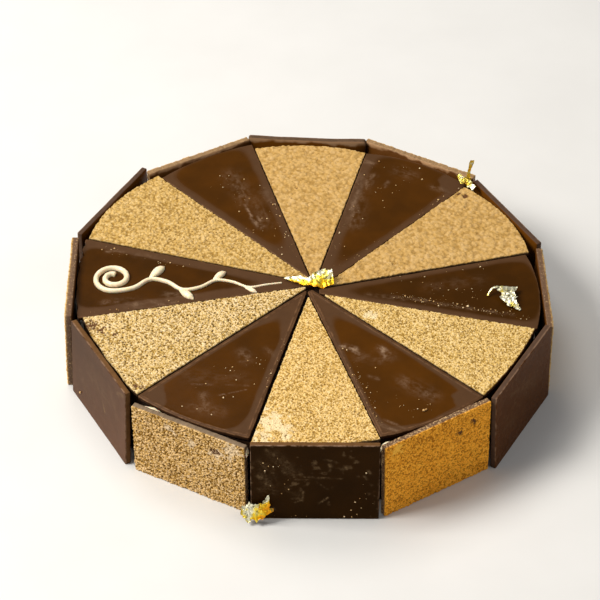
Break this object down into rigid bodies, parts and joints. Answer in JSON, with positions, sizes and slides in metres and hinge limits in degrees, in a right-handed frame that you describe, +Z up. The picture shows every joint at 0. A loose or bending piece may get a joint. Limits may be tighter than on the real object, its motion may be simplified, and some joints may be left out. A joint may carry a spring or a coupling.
{
  "type": "opera cake",
  "caption": "Round opera cake dressed in thin chocolate wedges and upright panels, plain dark by turns with cocoa-crumbed, with gold leaf and a piped vine.",
  "frame": {"origin": "centre of the cake's base, on the surface that it stands on", "axes": "+Z up, -Y towards the front, which is the six o'clock wedge, and +X towards the three o'clock wedge"},
  "size_m": [0.2503, 0.2565, 0.059],
  "materials": {
    "sponge": "matt dark glaze over the cake inside",
    "dark_chocolate": "glossy dark chocolate with a faint bloom towards its edges",
    "crumbed_chocolate": "velvety coat of light brown cocoa crumbs",
    "gold_leaf": "crumpled bright gold leaf",
    "white_chocolate": "glossy piped ivory chocolate"
  },
  "bodies": {
    "root": {"cake_body": "sponge", "wedge_dark_01": "dark_chocolate", "panel_crumbed_01": "crumbed_chocolate", "wedge_crumbed_02": "crumbed_chocolate", "panel_dark_02": "dark_chocolate", "wedge_dark_03": "dark_chocolate", "panel_crumbed_03": "crumbed_chocolate", "wedge_crumbed_04": "crumbed_chocolate", "panel_dark_04": "dark_chocolate", "wedge_dark_05": "dark_chocolate", "panel_crumbed_05": "crumbed_chocolate", "wedge_crumbed_06": "crumbed_chocolate", "panel_dark_06": "dark_chocolate", "wedge_dark_07": "dark_chocolate", "panel_crumbed_07": "crumbed_chocolate", "wedge_crumbed_08": "crumbed_chocolate", "panel_dark_08": "dark_chocolate", "wedge_dark_09": "dark_chocolate", "panel_crumbed_09": "crumbed_chocolate", "wedge_crumbed_10": "crumbed_chocolate", "panel_dark_10": "dark_chocolate", "wedge_dark_11": "dark_chocolate", "panel_crumbed_11": "crumbed_chocolate", "wedge_crumbed_12": "crumbed_chocolate", "panel_dark_12": "dark_chocolate", "gold_leaf_centre": "gold_leaf", "gold_leaf_right": "gold_leaf", "gold_leaf_rear": "gold_leaf", "gold_leaf_front": "gold_leaf", "piped_vine": "white_chocolate"}
  },
  "joints": []
}
